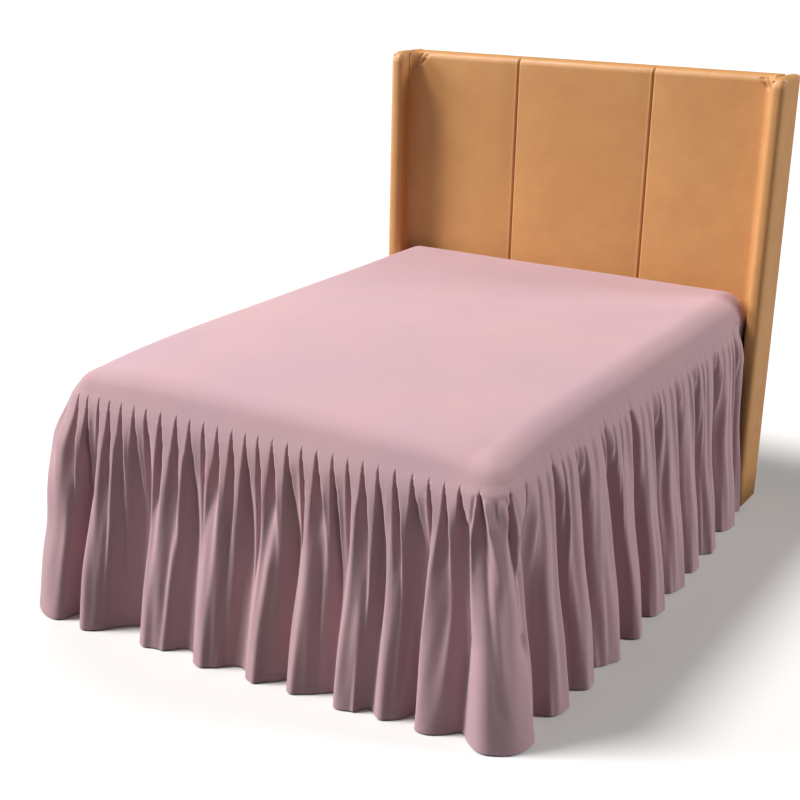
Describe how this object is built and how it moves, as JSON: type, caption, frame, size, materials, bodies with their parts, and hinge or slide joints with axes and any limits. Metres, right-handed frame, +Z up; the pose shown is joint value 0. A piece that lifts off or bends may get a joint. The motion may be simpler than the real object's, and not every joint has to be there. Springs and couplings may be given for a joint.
{
  "type": "bed skirt on a bed",
  "caption": "Gathered bed skirt with a smooth deck, fitted over a plain double mattress on a bed with a winged, sectioned headboard; its ruffle hangs in folds to the floor on three sides.",
  "frame": {"origin": "on the floor under the middle of the mattress, on the underside of the middle leg", "axes": "+Z up, +Y from the foot of the bed towards the headboard, +X to the right seen from the foot"},
  "size_m": [1.6572, 2.1595, 1.5],
  "materials": {
    "cloth": "brushed woven cloth, matt",
    "leather": "smooth, half matt",
    "ticking": "woven, matt",
    "base_cloth": "woven, matt",
    "leg_plastic": "matt"
  },
  "bodies": {
    "root": {"deck": "cloth", "ruffle_left": "cloth", "ruffle_foot": "cloth", "ruffle_right": "cloth", "mattress": "ticking", "bed_base": "base_cloth", "leg_middle": "leg_plastic", "leg_foot_left": "leg_plastic", "leg_foot_right": "leg_plastic", "leg_head_left": "leg_plastic", "leg_head_right": "leg_plastic", "headboard_left": "leather", "headboard_middle": "leather", "headboard_right": "leather", "wing_left": "leather", "wing_right": "leather"}
  },
  "joints": []
}
